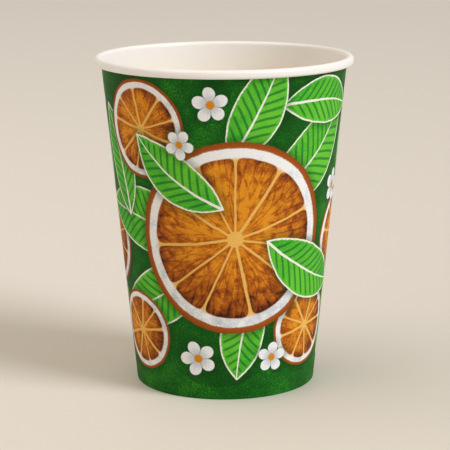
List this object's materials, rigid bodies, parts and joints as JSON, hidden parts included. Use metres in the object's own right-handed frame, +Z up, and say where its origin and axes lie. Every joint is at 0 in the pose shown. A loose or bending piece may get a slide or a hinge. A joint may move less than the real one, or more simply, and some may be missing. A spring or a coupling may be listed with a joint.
{
  "type": "paper cup",
  "caption": "Tapered paper party cup with a rolled rim, a lapped side seam, a folded foot and a recessed base, for cold drinks.",
  "frame": {"origin": "on the cup's axis at the level of the table that it stands on", "axes": "+Z up the cup's axis to the mouth, -Y to the front of the print, side seam just behind +X"},
  "size_m": [0.0762, 0.0762, 0.0975],
  "materials": {
    "printed_board": "satin",
    "white_board": "satin"
  },
  "bodies": {
    "root": {"side_wall": "printed_board", "base_disc": "white_board"}
  },
  "joints": []
}
